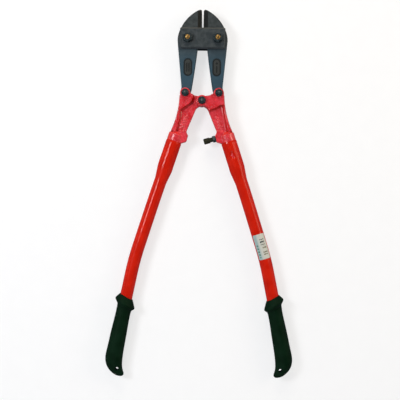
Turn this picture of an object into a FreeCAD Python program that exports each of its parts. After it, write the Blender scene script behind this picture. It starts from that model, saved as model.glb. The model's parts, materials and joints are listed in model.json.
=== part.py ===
import FreeCAD, Part
import math
import os

import Sketcher
from FreeCAD import Placement, Rotation, Vector

# Hand-operated bolt cutters, 24-inch class, lying flat on their back.
# +Y runs from the handles to the jaws, +X to the right arm and +Z up, away from the surface.
# The origin is on the centre pivot's axis, on the surface that the tool lies on.
# The two sides mirror each other: outlines are given for the right side, at positive x.

LEFT = -1
RIGHT = 1
SIDE_NAMES = {LEFT: "left", RIGHT: "right"}
FRONT = 1
REAR = -1
FACE_NAMES = {FRONT: "front", REAR: "rear"}

DIMENSIONS = (
    # height of the middle plane above the surface
    ("mid_height", 18.5),
    # pivots
    ("jaw_pivot_x", 24.8),
    ("jaw_pivot_y", 102.3),
    ("arm_pivot_x", 27.6),
    ("arm_pivot_y", 12.4),
    ("pivot_radius", 4.0),
    ("fixed_hole_radius", 4.02),
    ("turning_hole_radius", 4.05),
    # jaws
    ("jaw_thickness", 13.0),
    ("jaw_half_width", 41.2),
    ("jaw_widest_y", 98.0),
    ("jaw_tip_y", 150.3),
    ("edge_gap_tip", 1.42),
    ("edge_gap_heel", 1.1),
    ("edge_heel_y", 112.0),
    ("bevel_width", 7.2),
    ("jaw_chamfer", 1.3),
    ("tail_end_radius", 8.3),
    ("oval_x", 23.7),
    ("oval_y", 55.0),
    ("oval_length", 29.0),
    ("oval_width", 13.8),
    ("oval_ring", 2.2),
    ("oval_depth", 0.6),
    ("oval_bar_width", 2.2),
    # joint plates
    ("strap_half_length", 37.2),
    ("strap_bottom_y", 85.0),
    ("strap_top_y", 119.6),
    ("strap_thickness", 5.0),
    ("strap_gap", 0.15),
    ("strap_corner", 2.5),
    ("strap_bevel", 2.4),
    # castings
    ("cheek_half", 13.0),
    ("rim_half", 11.0),
    ("web_half", 6.0),
    ("lug_half", 8.0),
    ("ear_radius", 9.2),
    ("flank_radius", 147.0),
    ("ear_slot_half", 6.7),
    ("ear_slot_radius", 9.6),
    ("ear_slot_flare", 5.0),
    ("hub_radius", 9.9),
    ("hub_slot_half", 6.25),
    ("hub_slot_radius", 10.5),
    ("tongue_radius", 9.4),
    ("tongue_hole_radius", 5.95),
    ("tongue_hole_shift", 1.4),
    ("cast_draft", 5.0),
    ("rib_height", 0.8),
    ("rib_width", 1.8),
    ("rib_length", 7.0),
    ("rib_spacing", 4.4),
    ("collar_radius", 12.1),
    ("collar_length", 12.0),
    ("shoulder_length", 5.0),
    ("shoulder_radius", 6.5),
    ("spigot_length", 44.0),
    ("spigot_clearance", 0.05),
    # tube handles: three runs, the angles outward from straight down
    ("tube_start_x", 45.2),
    ("tube_start_y", -66.7),
    ("tube_bend_y", -170.0),
    ("tube_elbow_y", -262.0),
    ("tube_end_y", -412.0),
    ("tube_upper_angle", 18.2),
    ("tube_middle_angle", 17.6),
    ("tube_lower_angle", 11.5),
    ("tube_bend_radius", 900.0),
    ("tube_elbow_radius", 400.0),
    ("tube_radius", 10.35),
    ("tube_wall", 1.8),
    ("sleeve_radius", 12.9),
    ("sleeve_length", 46.0),
    ("neck_length", 24.0),
    ("dimple_distance", 23.0),
    ("dimple_shift", 1.8),
    ("dimple_length", 14.0),
    ("dimple_width", 6.5),
    ("dimple_depth", 1.2),
    # grips
    ("grip_distance", 73.7),
    ("collar_tilt", 19.0),
    ("grip_bore_clearance", 0.05),
    ("hang_hole_radius", 3.0),
    ("hang_hole_x", -10.2),
    ("hang_hole_distance", 107.4),
    # closing stop
    ("stop_tip_x", 4.0),
    ("stop_tip_y", -67.2),
    ("stop_angle", 16.0),
    ("stop_face_distance", 20.2),
    ("bumper_radius", 4.8),
    ("bumper_length", 10.4),
    ("bumper_neck_radius", 3.8),
    ("bumper_neck_length", 4.6),
    ("stop_screw_radius", 3.0),
    ("stop_screw_start", 4.0),
    ("stop_screw_length", 28.0),
    # fasteners
    ("jaw_hex", 13.0),
    ("jaw_head_height", 5.25),
    ("jaw_nut_height", 6.5),
    ("jaw_washer_radius", 8.2),
    ("jaw_washer_thickness", 1.6),
    ("jaw_bolt_proud", 3.0),
    ("arm_hex", 10.0),
    ("arm_head_height", 4.0),
    ("arm_nut_height", 5.0),
    ("arm_thread_radius", 3.0),
    ("arm_washer_radius", 6.2),
    ("arm_washer_thickness", 1.5),
    ("arm_bolt_proud", 1.6),
    ("thread_clearance", 0.02),
    # price label on the right tube
    ("label_distance", 180.4),
    ("label_length", 42.0),
    ("label_half_width", 8.9),
    ("label_thickness", 0.25),
)

doc = FreeCAD.newDocument("bolt_cutters")
sheet = doc.addObject("Spreadsheet::Sheet", "Dimensions")
for row, (alias, value) in enumerate(DIMENSIONS, start=1):
    sheet.set(f"A{row}", str(value))
    sheet.setAlias(f"A{row}", alias)
doc.recompute()


# ------------------------------------------------------------------ dimensions and places


def cell(alias):
    """A driving dimension's name in an expression."""
    return f"Dimensions.{alias}"


def number(expression):
    """The number that an expression of driving dimensions gives."""
    return float(sheet.evalExpression(expression))


def dim(alias):
    """A driving dimension's number."""
    return number(cell(alias))


STRAP_INNER = f"({cell('jaw_thickness')} / 2 + {cell('strap_gap')})"
STRAP_OUTER = f"({STRAP_INNER} + {cell('strap_thickness')})"


def direction(angle):
    """Unit vector pointing down the tool, turned outward to the right from straight down."""
    radians = math.radians(angle)
    return Vector(math.sin(radians), -math.cos(radians), 0)


def mirrored(point, side):
    """The same point on the given side."""
    return Vector(side * point.x, point.y, point.z)


def tube_corners():
    """Start, bend, elbow and end of the right tube's centre line, as if its corners were sharp."""
    start = Vector(dim("tube_start_x"), dim("tube_start_y"), 0)
    corners = [start]
    for level, angle in (
        ("tube_bend_y", "tube_upper_angle"),
        ("tube_elbow_y", "tube_middle_angle"),
        ("tube_end_y", "tube_lower_angle"),
    ):
        run = direction(dim(angle))
        corners.append(corners[-1] + run * ((dim(level) - corners[-1].y) / run.y))
    return corners


# ------------------------------------------------------------------ shared building steps


def new_body(name):
    """A sub-part whose own z = 0 is the tool's middle plane."""
    body = doc.addObject("PartDesign::Body", name)
    body.setExpression("Placement.Base.z", cell("mid_height"))
    return body


def new_sketch(body, name, plane="XY_Plane", height=None):
    """A sketch on one of its own body's origin planes; height is an expression."""
    sketch = body.newObject("Sketcher::SketchObject", name)
    support = next(item for item in body.Origin.OriginFeatures if item.Role == plane)
    sketch.AttachmentSupport = (support, [""])
    sketch.MapMode = "FlatFace"
    if height is not None:
        sketch.setExpression("AttachmentOffset.Base.z", height)
    return sketch


def draw_outline(sketch, points, side=RIGHT):
    """Draws a closed outline: (x, y) is a straight run to a corner, (vx, vy, x, y) an arc
    through (vx, vy) to a corner."""
    corners = [Vector(side * point[-2], point[-1], 0) for point in points]
    for index, point in enumerate(points):
        start = corners[index - 1]
        if len(point) == 4:
            edge = Part.Arc(start, Vector(side * point[0], point[1], 0), corners[index])
        else:
            edge = Part.LineSegment(start, corners[index])
        sketch.addGeometry(edge)
    sketch.detectMissingPointOnPointConstraints(1e-5)
    sketch.makeMissingPointOnPointCoincident()


def draw_circle(sketch, radius, x=None, y=None, x_sign=1):
    """Draws a circle with its radius and its centre's x and y bound to the sheet, or on an axis."""
    x_number = x_sign * dim(x) if x else 0.0
    y_number = dim(y) if y else 0.0
    circle = sketch.addGeometry(Part.Circle(Vector(x_number, y_number, 0), Vector(0, 0, 1), dim(radius)))
    bind(sketch, Sketcher.Constraint("Radius", circle, dim(radius)), cell(radius))
    if x:
        signed = cell(x) if x_sign > 0 else f"-{cell(x)}"
        bind(sketch, Sketcher.Constraint("DistanceX", -1, 1, circle, 3, x_number), signed)
    else:
        sketch.addConstraint(Sketcher.Constraint("PointOnObject", circle, 3, -2))
    if y:
        bind(sketch, Sketcher.Constraint("DistanceY", -1, 1, circle, 3, y_number), cell(y))
    else:
        sketch.addConstraint(Sketcher.Constraint("PointOnObject", circle, 3, -1))


def bind(sketch, constraint, expression):
    """Adds a constraint whose size follows an expression."""
    index = sketch.addConstraint(constraint)
    sketch.setExpression(f"Constraints[{index}]", expression)


def draw_obround(sketch, centre, width, length, side=RIGHT, angle=0.0):
    """Draws a slot shape about centre, its long way turned by angle outward from +Y."""
    radius = width / 2
    straight = length / 2 - radius
    long_way = -direction(-angle)
    across = Vector(long_way.y, -long_way.x, 0)

    def place(sideways, lengthways):
        spot = centre + across * sideways + long_way * lengthways
        return spot.x, spot.y

    draw_outline(sketch, (
        place(radius, straight),
        place(0, straight + radius) + place(-radius, straight),
        place(-radius, -straight),
        place(0, -straight - radius) + place(radius, -straight),
    ), side)


def extrude(body, kind, sketch, name, length, both_ways=True, flipped=False):
    """A Pad or Pocket of the sketch; length is an expression, the full one when both ways."""
    feature = body.newObject(f"PartDesign::{kind}", name)
    feature.Profile = sketch
    if both_ways:
        feature.SideType = "Symmetric"
    feature.Reversed = flipped
    feature.setExpression("Length", length)
    return feature


def turn(body, kind, name, start, angle, profile, side=RIGHT):
    """A Revolution or Groove about an axis in the middle plane. The axis leaves start at an
    angle outward from straight down; profile lists (distance along it, radius)."""
    way = direction(angle)
    across = Vector(-way.y, way.x, 0)
    points = []
    for distance, radius in profile:
        spot = start + way * distance + across * radius
        points.append((spot.x, spot.y))
    sketch = new_sketch(body, name + "_profile")
    draw_outline(sketch, points, side)
    axis_end = start + way * 10
    axis = sketch.addGeometry(Part.LineSegment(mirrored(start, side), mirrored(axis_end, side)))
    sketch.setConstruction(axis, True)
    feature = body.newObject(f"PartDesign::{kind}", name)
    feature.Profile = sketch
    feature.ReferenceAxis = (sketch, ["Axis0"])
    feature.Angle = 360.0
    return feature


def turn_upright(body, kind, name, profile):
    """A Revolution or Groove about the body's own Z axis; profile lists (radius, height)."""
    sketch = new_sketch(body, name + "_profile", "XZ_Plane")
    draw_outline(sketch, profile)
    feature = body.newObject(f"PartDesign::{kind}", name)
    feature.Profile = sketch
    feature.ReferenceAxis = (sketch, ["V_Axis"])
    feature.Angle = 360.0
    return feature


def chamfer_rim(body, name, size, height):
    """Chamfers the edges of the body's last feature that lie at a height."""
    doc.recompute()
    base = body.Tip
    rim = []
    for index, edge in enumerate(base.Shape.Edges, start=1):
        if all(abs(vertex.Z - height) < 1e-4 for vertex in edge.Vertexes):
            rim.append(f"Edge{index}")
    feature = body.newObject("PartDesign::Chamfer", name)
    feature.Base = (base, rim)
    feature.setExpression("Size", size)


# ------------------------------------------------------------------ joint plates


def make_strap(face):
    """One of the two plates that hold the jaws, with its outer rim bevelled."""
    name = FACE_NAMES[face] + "_strap"
    body = new_body(name)
    half = dim("strap_half_length")
    low = dim("strap_bottom_y")
    high = dim("strap_top_y")
    corner = dim("strap_corner")
    bulge = corner * (1 - math.sqrt(0.5))
    height = STRAP_INNER if face == FRONT else f"-{STRAP_INNER}"
    outline = new_sketch(body, name + "_outline", height=height)
    draw_outline(outline, (
        (half - corner, low),
        (half - bulge, low + bulge, half, low + corner),
        (half, high - corner),
        (half - bulge, high - bulge, half - corner, high),
        (corner - half, high),
        (bulge - half, high - bulge, -half, high - corner),
        (-half, low + corner),
        (bulge - half, low + bulge, corner - half, low),
    ))
    extrude(body, "Pad", outline, name + "_plate", cell("strap_thickness"), False, face == REAR)
    chamfer_rim(body, name + "_bevel", cell("strap_bevel"), face * number(STRAP_OUTER))
    places = new_sketch(body, name + "_hole_places")
    for side in (LEFT, RIGHT):
        draw_circle(places, "fixed_hole_radius", "jaw_pivot_x", "jaw_pivot_y", side)
    extrude(body, "Pocket", places, name + "_holes", f"4 * {cell('cheek_half')}")


# ------------------------------------------------------------------ jaws


def make_jaw(side):
    """A forged jaw: blade above its bolt, long tail below it, chamfered all round."""
    name = SIDE_NAMES[side] + "_jaw"
    body = new_body(name)
    wide = dim("jaw_half_width")
    tip_y = dim("jaw_tip_y")
    pivot_x = dim("arm_pivot_x")
    pivot_y = dim("arm_pivot_y")
    end = dim("tail_end_radius")
    outline = (
        (dim("edge_gap_tip"), tip_y - 2.4),
        (dim("edge_gap_tip") + 0.6, tip_y - 0.7, 3.6, tip_y),
        (4.5, tip_y - 0.1, 5.4, tip_y - 0.5),
        (22.3, 138.2, 36.0, 119.0),
        (39.9, 109.0, wide, dim("jaw_widest_y")),
        (33.9, 22.8),
        (34.4, 18.8, pivot_x + 0.94 * end, pivot_y + 0.34 * end),
        (pivot_x, pivot_y - end, pivot_x - 0.94 * end, pivot_y - 0.34 * end),
        (17.2, 18.5),
        (12.1, 52.0, 8.0, 84.0),
        (5.4, 99.0, 1.6, 107.0),
        (dim("edge_gap_heel"), dim("edge_heel_y") - 2.0),
    )
    core_half = f"({cell('jaw_thickness')} / 2 - {cell('jaw_chamfer')})"
    core = new_sketch(body, name + "_core_outline")
    draw_outline(core, outline, side)
    extrude(body, "Pad", core, name + "_core", f"2 * {core_half}")
    for face in (FRONT, REAR):
        label = f"{name}_{FACE_NAMES[face]}_layer"
        layer = new_sketch(body, label + "_outline", height=f"{face} * {core_half}")
        draw_outline(layer, outline, side)
        chamfered = extrude(body, "Pad", layer, label, cell("jaw_chamfer"), False, face == REAR)
        chamfered.TaperAngle = -45.0
    grind_bevels(body, name, side)
    for face in (FRONT, REAR):
        stamp_oval(body, name, side, face)
    places = new_sketch(body, name + "_hole_places")
    draw_circle(places, "turning_hole_radius", "jaw_pivot_x", "jaw_pivot_y", side)
    draw_circle(places, "turning_hole_radius", "arm_pivot_x", "arm_pivot_y", side)
    extrude(body, "Pocket", places, name + "_holes", f"2 * {cell('jaw_thickness')}")


def grind_bevels(body, name, side):
    """Grinds the blade to its cutting edge from both faces, from the heel up."""
    spare = 0.5
    half = dim("jaw_thickness") / 2
    edge_x = dim("edge_gap_heel")
    outer_x = edge_x + dim("bevel_width") * (half + spare) / half
    section = new_sketch(body, name + "_bevel_section", "XZ_Plane", f"-{cell('edge_heel_y')}")
    draw_outline(section, (
        (edge_x, 0.0),
        (outer_x, half + spare),
        (-spare, half + spare),
        (-spare, -half - spare),
        (outer_x, -half - spare),
    ), side)
    extrude(body, "Pocket", section, name + "_bevels", cell("jaw_tip_y"), False)


def stamp_oval(body, name, side, face):
    """Presses an oval ring with plain marks inside it into one face of the tail."""
    centre = Vector(dim("oval_x"), dim("oval_y"), 0)
    width = dim("oval_width")
    length = dim("oval_length")
    ring = dim("oval_ring")
    bar = dim("oval_bar_width")
    label = f"{name}_{FACE_NAMES[face]}_stamp"
    depth_plane = f"{face} * ({cell('jaw_thickness')} / 2 - {cell('oval_depth')})"
    sketch = new_sketch(body, label + "_outline", height=depth_plane)
    draw_obround(sketch, centre, width, length, side)
    draw_obround(sketch, centre, width - 2 * ring, length - 2 * ring, side)
    if side == LEFT:
        for shift in (-1, 1):
            draw_obround(sketch, centre + Vector(shift * 0.85 * bar, 0, 0), bar, 7 * bar, side)
    else:
        draw_obround(sketch, centre + Vector(0, 3 * bar, 0), 1.8 * bar, 1.9 * bar, side)
        draw_obround(sketch, centre - Vector(0, 1.5 * bar, 0), bar, 5.5 * bar, side)
    extrude(body, "Pocket", sketch, label, cell("jaw_thickness"), False, face == FRONT)


# ------------------------------------------------------------------ castings


def ear_arc():
    """The ear's rounded top, from its outer side over to its inner side."""
    x = dim("arm_pivot_x")
    y = dim("arm_pivot_y")
    radius = dim("ear_radius")
    return (x, y + radius, x - 0.994 * radius, y + 0.105 * radius)


def hub_arc(radius):
    """The round end about the centre pivot, from its top side round to its lower side."""
    return (-radius, 0.0, 0.323 * radius, -0.946 * radius)


def flank_x(y):
    """The arm's outer edge: a circle that leaves the ear straight down and swings outward."""
    radius = dim("flank_radius")
    drop = y - dim("arm_pivot_y")
    return dim("arm_pivot_x") + dim("ear_radius") + radius - math.sqrt(radius**2 - drop**2)


def flank_arc(from_y, to_y):
    """The part of the outer edge between two levels, as an arc to the second one."""
    middle_y = (from_y + to_y) / 2
    return (flank_x(middle_y), middle_y, flank_x(to_y), to_y)


def web_outline(hub):
    """The flat middle layer of a casting, from the ear and the centre joint to the collar."""
    return (
        flank_arc(-50.0, dim("arm_pivot_y")),
        ear_arc(),
        (12.6, 9.1, 0.495 * hub, 0.869 * hub),
        hub_arc(hub),
        (8.2, -11.9, 11.0, -16.2),
        (24.9, -49.8),
        (33.0, -64.0),
        (49.5, -57.0),
        (flank_x(-50.0), -50.0),
    )


def rim_outline(side):
    """The raised outer edge, from beside the ear down to the collar."""
    inner_edge = {
        LEFT: ((41.0, -52.0), (36.4, -34.0, 33.8, -10.0)),
        RIGHT: ((43.2, -52.0), (38.3, -31.0, 34.4, -6.0)),
    }
    top_y = -3.0
    return ((flank_x(top_y), top_y), flank_arc(top_y, -50.0), *inner_edge[side])


def left_cheek_outline():
    """The left ear's cheek; its lower side steps down to the tongue."""
    corner_y = -12.0
    return (
        flank_arc(corner_y, dim("arm_pivot_y")),
        ear_arc(),
        (16.4, 11.3, 14.3, 10.0),
        (13.9, 6.0),
        (15.6, 0.0, 20.2, -6.2),
        (31.0, -13.6),
        (35.0, -15.6, flank_x(corner_y), corner_y),
    )


def right_cheek_outline():
    """The right cheek, which runs from the ear across to the centre joint."""
    hub = dim("hub_radius")
    corner_y = -8.2
    return (
        flank_arc(corner_y, dim("arm_pivot_y")),
        ear_arc(),
        (12.6, 9.1, 0.495 * hub, 0.869 * hub),
        hub_arc(hub),
        (8.0, -11.7, 11.4, -17.2),
        (20.0, -14.0),
        (26.0, -11.0, 30.4, corner_y),
        (flank_x(corner_y), corner_y),
    )


def lug_outline():
    """The stop lug on the arm's inner side, beside the collar."""
    return (
        (36.0, -50.0),
        (25.0, -49.8),
        (24.2, -53.8, 22.4, -57.0),
        (24.7, -65.6),
        (25.2, -67.0, 26.5, -67.7),
        (34.3, -70.2),
        (42.0, -64.0),
    )


def add_collar_and_spigot(body, name, side):
    """The round collar that the tube butts against, and the spigot inside the tube."""
    start = Vector(dim("tube_start_x"), dim("tube_start_y"), 0)
    collar = dim("collar_length")
    shoulder = collar + dim("shoulder_length")
    spigot = dim("sleeve_radius") - dim("tube_wall") - dim("spigot_clearance")
    turn(body, "Revolution", name + "_collar", start, dim("tube_upper_angle"), (
        (-shoulder, 0.0),
        (-shoulder, dim("shoulder_radius")),
        (-collar, dim("collar_radius")),
        (0.0, dim("collar_radius")),
        (0.0, spigot),
        (dim("spigot_length"), spigot),
        (dim("spigot_length"), 0.0),
    ), side)


def cut_ear_slot(body, name, side):
    """Opens the ear between its cheeks for the jaw's tail, flared where the tail swings inward."""
    x = dim("arm_pivot_x")
    y = dim("arm_pivot_y")
    radius = dim("ear_slot_radius")
    flared_x = x - radius - dim("ear_slot_flare")
    outline = new_sketch(body, name + "_ear_slot_outline")
    draw_outline(outline, (
        (x + radius, y + 2 * radius),
        (flared_x, y + 2 * radius),
        (flared_x, y + radius / 2),
        (x - 0.956 * radius, y - 0.292 * radius),
        (x, y - radius, x + radius, y),
    ), side)
    extrude(body, "Pocket", outline, name + "_ear_slot", f"2 * {cell('ear_slot_half')}")


def cut_hub_slot(body, name):
    """Opens the right casting's centre joint for the left one's tongue."""
    radius = dim("hub_slot_radius")
    outline = new_sketch(body, name + "_hub_slot_outline")
    draw_outline(outline, (
        (-2 * radius, -radius),
        (0.0, -radius),
        (radius, 0.0, 0.0, radius),
        (-2 * radius, radius),
    ))
    extrude(body, "Pocket", outline, name + "_hub_slot", f"2 * {cell('hub_slot_half')}")


def add_ribs(body, name, side):
    """Plain raised bars cast into the recessed panel, one below another."""
    sketch = new_sketch(body, name + "_rib_outlines")
    first = {LEFT: Vector(25.4, -27.0, 0), RIGHT: Vector(26.2, -28.0, 0)}[side]
    slope = dim("tube_upper_angle")
    for index in range(5):
        centre = first + direction(slope) * (index * dim("rib_spacing"))
        draw_obround(sketch, centre, dim("rib_width"), dim("rib_length"), side, slope + 90)
    extrude(body, "Pad", sketch, name + "_ribs", f"2 * ({cell('web_half')} + {cell('rib_height')})")


def make_casting(side):
    """One arm's casting: ear fork, half of the centre joint, web, rim, stop lug, collar and spigot."""
    name = SIDE_NAMES[side] + "_casting"
    body = new_body(name)
    hub = dim("tongue_radius") if side == LEFT else dim("hub_radius")
    cheek = left_cheek_outline() if side == LEFT else right_cheek_outline()
    for layer, outline, half, draft in (
        ("web", web_outline(hub), "web_half", False),
        ("lug", lug_outline(), "lug_half", False),
        ("cheek", cheek, "cheek_half", True),
        ("rim", rim_outline(side), "rim_half", True),
    ):
        sketch = new_sketch(body, f"{name}_{layer}_outline")
        draw_outline(sketch, outline, side)
        slab = extrude(body, "Pad", sketch, f"{name}_{layer}", f"2 * {cell(half)}")
        if draft:
            slab.setExpression("TaperAngle", f"-{cell('cast_draft')}")
    add_collar_and_spigot(body, name, side)
    add_ribs(body, name, side)
    cut_ear_slot(body, name, side)
    places = new_sketch(body, name + "_hole_places")
    draw_circle(places, "fixed_hole_radius", "arm_pivot_x", "arm_pivot_y", side)
    if side == LEFT:
        draw_circle(places, "tongue_hole_radius", "tongue_hole_shift")
    else:
        cut_hub_slot(body, name)
        draw_circle(places, "fixed_hole_radius")
    extrude(body, "Pocket", places, name + "_holes", f"4 * {cell('cheek_half')}")
    if side == RIGHT:
        drill_stop_hole(body, name)


def stop_axis():
    """Where the stop screw's axis starts, at the bumper's face, and its angle."""
    return Vector(dim("stop_tip_x"), dim("stop_tip_y"), 0), 90.0 + dim("stop_angle")


def drill_stop_hole(body, name):
    start, angle = stop_axis()
    depth_end = dim("stop_screw_start") + dim("stop_screw_length") + 0.5
    radius = dim("stop_screw_radius") + dim("thread_clearance")
    turn(body, "Groove", name + "_stop_hole", start, angle, (
        (dim("bumper_length"), 0.0),
        (dim("bumper_length"), radius),
        (depth_end, radius),
        (depth_end, 0.0),
    ))


# ------------------------------------------------------------------ tube handles and label


def make_route(side):
    """The tube's centre line: three straight runs joined by long bends."""
    start, bend, elbow, end = (mirrored(corner, side) for corner in tube_corners())
    route = doc.addObject("Sketcher::SketchObject", SIDE_NAMES[side] + "_tube_route")
    route.setExpression("Placement.Base.z", cell("mid_height"))
    before = start
    for corner, after, radius in (
        (bend, elbow, dim("tube_bend_radius")),
        (elbow, end, dim("tube_elbow_radius")),
    ):
        incoming = (corner - before).normalize()
        outgoing = (after - corner).normalize()
        half_turn = incoming.getAngle(outgoing) / 2
        reach = radius * math.tan(half_turn)
        rise = radius * (1 / math.cos(half_turn) - 1)
        inward = (outgoing - incoming).normalize()
        arc_start = corner - incoming * reach
        arc_end = corner + outgoing * reach
        route.addGeometry(Part.LineSegment(before, arc_start))
        route.addGeometry(Part.Arc(arc_start, corner + inward * rise, arc_end))
        before = arc_end
    route.addGeometry(Part.LineSegment(before, end))
    route.detectMissingPointOnPointConstraints(1e-5)
    route.makeMissingPointOnPointCoincident()
    return route


def make_run(route, side, name, change):
    """A round solid along the whole route, wider than the tube's long run by change all round."""
    section = doc.addObject("Part::Circle", name + "_section")
    section.setExpression("Radius", f"{cell('tube_radius')} + {change}")
    place, turned = tube_start_place(side)
    section.Placement = Placement(place, turned)
    run = doc.addObject("Part::Sweep", name)
    run.Sections = [section]
    run.Spine = (route, [f"Edge{index}" for index in range(1, 6)])
    run.Solid = True
    return run


def tube_start_place(side):
    """Where the tube starts, and the turn that takes +Z along its first run."""
    way = mirrored(direction(dim("tube_upper_angle")), side)
    place = mirrored(tube_corners()[0], side) + Vector(0, 0, dim("mid_height"))
    return place, Rotation(Vector(0, 0, 1), way)


def make_filled_tube(route, side, name, change):
    """The wide sleeve over the spigot, the neck below it and the long run, as one solid."""
    place, turned = tube_start_place(side)
    way = turned.multVec(Vector(0, 0, 1))
    sleeve = doc.addObject("Part::Cylinder", name + "_sleeve")
    sleeve.setExpression("Radius", f"{cell('sleeve_radius')} + {change}")
    sleeve.setExpression("Height", cell("sleeve_length"))
    sleeve.Placement = Placement(place, turned)
    neck = doc.addObject("Part::Cone", name + "_neck")
    neck.setExpression("Radius1", f"{cell('sleeve_radius')} + {change}")
    neck.setExpression("Radius2", f"{cell('tube_radius')} + {change}")
    neck.setExpression("Height", cell("neck_length"))
    neck.Placement = Placement(place + way * dim("sleeve_length"), turned)
    filled = doc.addObject("Part::MultiFuse", name)
    filled.Shapes = [sleeve, neck, make_run(route, side, name + "_run", change)]
    return filled


def join(kind, name, first, second):
    """A Part::Cut or Part::Common of two objects."""
    result = doc.addObject(f"Part::{kind}", name)
    result.Base = first
    result.Tool = second
    return result


def make_dimple(side):
    """The oval dent that crimps the sleeve on the spigot: at the front on the right, else behind."""
    angle = dim("tube_upper_angle")
    across = Vector(-direction(angle).y, direction(angle).x, 0)
    spot = tube_corners()[0] + direction(angle) * dim("dimple_distance") + across * dim("dimple_shift")
    dimple = doc.addObject("Part::Ellipsoid", SIDE_NAMES[side] + "_tube_dimple")
    dimple.setExpression("Radius1", cell("dimple_depth"))
    dimple.setExpression("Radius2", f"{cell('dimple_width')} / 2")
    dimple.setExpression("Radius3", f"{cell('dimple_length')} / 2")
    dimple.Angle1 = -90
    surface = math.sqrt(dim("sleeve_radius") ** 2 - dim("dimple_shift") ** 2)
    place = mirrored(spot, side) + Vector(0, 0, dim("mid_height") + side * surface)
    dimple.Placement = Placement(place, Rotation(Vector(0, 0, 1), side * angle))
    return dimple


def make_tube(side):
    """A steel tube handle, open at both ends; the right one also carries the label."""
    name = SIDE_NAMES[side] + "_tube"
    route = make_route(side)
    outside = make_filled_tube(route, side, name + "_outside", "0")
    inside = make_filled_tube(route, side, name + "_inside", f"-{cell('tube_wall')}")
    open_tube = join("Cut", name + "_open", outside, inside)
    join("Cut", name, open_tube, make_dimple(side))
    if side == RIGHT:
        make_label(route, outside)


def make_label(route, tube_outside):
    """A thin stuck-on label that wraps the tube's front."""
    start, bend = tube_corners()[:2]
    upper_run = start.distanceToPoint(bend)
    half_length = dim("label_length") / 2
    angle = dim("tube_middle_angle")
    corner = bend + direction(angle) * (dim("label_distance") - upper_run + half_length)
    across = Vector(-direction(angle).y, direction(angle).x, 0)
    corner = corner - across * dim("label_half_width") + Vector(0, 0, dim("mid_height"))
    skin = make_run(route, RIGHT, "label_skin", cell("label_thickness"))
    window = doc.addObject("Part::Box", "label_window")
    window.setExpression("Length", f"2 * {cell('label_half_width')}")
    window.setExpression("Width", cell("label_length"))
    window.setExpression("Height", f"2 * {cell('tube_radius')}")
    window.Placement = Placement(corner, Rotation(Vector(0, 0, 1), angle))
    patch = join("Common", "label_patch", skin, window)
    join("Cut", "price_label", patch, tube_outside)


# ------------------------------------------------------------------ grips


# (distance below the collar's centre, sideways shift, half-width, half-height) of oval sections
GRIP_SECTIONS = (
    (-2.0, -0.2, 12.6, 12.6),
    (10.0, -0.9, 12.3, 12.3),
    (22.0, -0.6, 12.0, 12.2),
    (50.0, -0.6, 13.0, 12.8),
    (78.0, -0.9, 13.7, 12.9),
    (94.0, -1.7, 14.2, 12.0),
    (103.0, -3.9, 13.7, 10.6),
    (109.5, -7.4, 12.9, 9.2),
    (114.0, -11.0, 11.5, 7.6),
    (117.5, -13.6, 8.2, 5.4),
    (119.3, -15.2, 3.6, 2.4),
)

# the same for the oblique collar, whose sections are tilted
GRIP_COLLAR_SECTIONS = (
    (-11.8, -0.6, 11.4, 11.3),
    (-1.2, -0.35, 18.0, 18.4),
    (1.2, -0.35, 18.0, 18.4),
    (6.5, -0.6, 12.9, 12.9),
)


def add_oval_loft(body, name, sections, side, tilt=0.0, ruled=False):
    """A loft through ovals that stand across the grip's length."""
    sketches = []
    for index, (distance, shift, half_width, half_height) in enumerate(sections):
        sketch = new_sketch(body, f"{name}_section_{index + 1}", "XZ_Plane")
        turned = Rotation(Vector(0, 1, 0), side * tilt)
        sketch.AttachmentOffset = Placement(Vector(0, 0, distance), turned)
        centre = Vector(side * shift, 0, 0)
        side_end = centre + Vector(half_width, 0, 0)
        top_end = centre + Vector(0, half_height, 0)
        if half_width >= half_height:
            oval = Part.Ellipse(side_end, top_end, centre)
        else:
            oval = Part.Ellipse(top_end, side_end, centre)
        sketch.addGeometry(oval)
        sketches.append(sketch)
    loft = body.newObject("PartDesign::AdditiveLoft", name)
    loft.Profile = sketches[0]
    loft.Sections = sketches[1:]
    loft.Ruled = ruled
    return loft


def make_grip(side):
    """A moulded grip with an oblique collar, a bore for the tube and a hang hole."""
    name = SIDE_NAMES[side] + "_grip"
    body = new_body(name)
    elbow, end = tube_corners()[2:]
    angle = dim("tube_lower_angle")
    place = mirrored(elbow + direction(angle) * dim("grip_distance"), side)
    turned = Rotation(Vector(0, 0, 1), side * angle)
    body.Placement = Placement(place + Vector(0, 0, dim("mid_height")), turned)
    add_oval_loft(body, name + "_handle", GRIP_SECTIONS, side)
    add_oval_loft(body, name + "_collar", GRIP_COLLAR_SECTIONS, side, dim("collar_tilt"), True)
    bore = dim("tube_radius") + dim("grip_bore_clearance")
    bore_start = -30.0
    bore_end = elbow.distanceToPoint(end) - dim("grip_distance")
    turn(body, "Groove", name + "_bore", Vector(0, 0, 0), 0.0, (
        (bore_start, 0.0),
        (bore_start, bore),
        (bore_end, bore),
        (bore_end, 0.0),
    ), side)
    hole = new_sketch(body, name + "_hang_hole_place")
    centre = Vector(side * dim("hang_hole_x"), -dim("hang_hole_distance"), 0)
    hole.addGeometry(Part.Circle(centre, Vector(0, 0, 1), dim("hang_hole_radius")))
    bind(hole, Sketcher.Constraint("Radius", 0, dim("hang_hole_radius")), cell("hang_hole_radius"))
    extrude(body, "Pocket", hole, name + "_hang_hole", f"4 * {cell('cheek_half')}")


# ------------------------------------------------------------------ fasteners


def new_fastener(name, pivot, side):
    """A body whose own Z axis is a pivot's axis: "jaw" or "arm" on a side, or the "centre" one."""
    body = new_body(name)
    if pivot != "centre":
        body.setExpression("Placement.Base.x", f"{side} * {cell(pivot + '_pivot_x')}")
        body.setExpression("Placement.Base.y", cell(pivot + "_pivot_y"))
    return body


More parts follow.
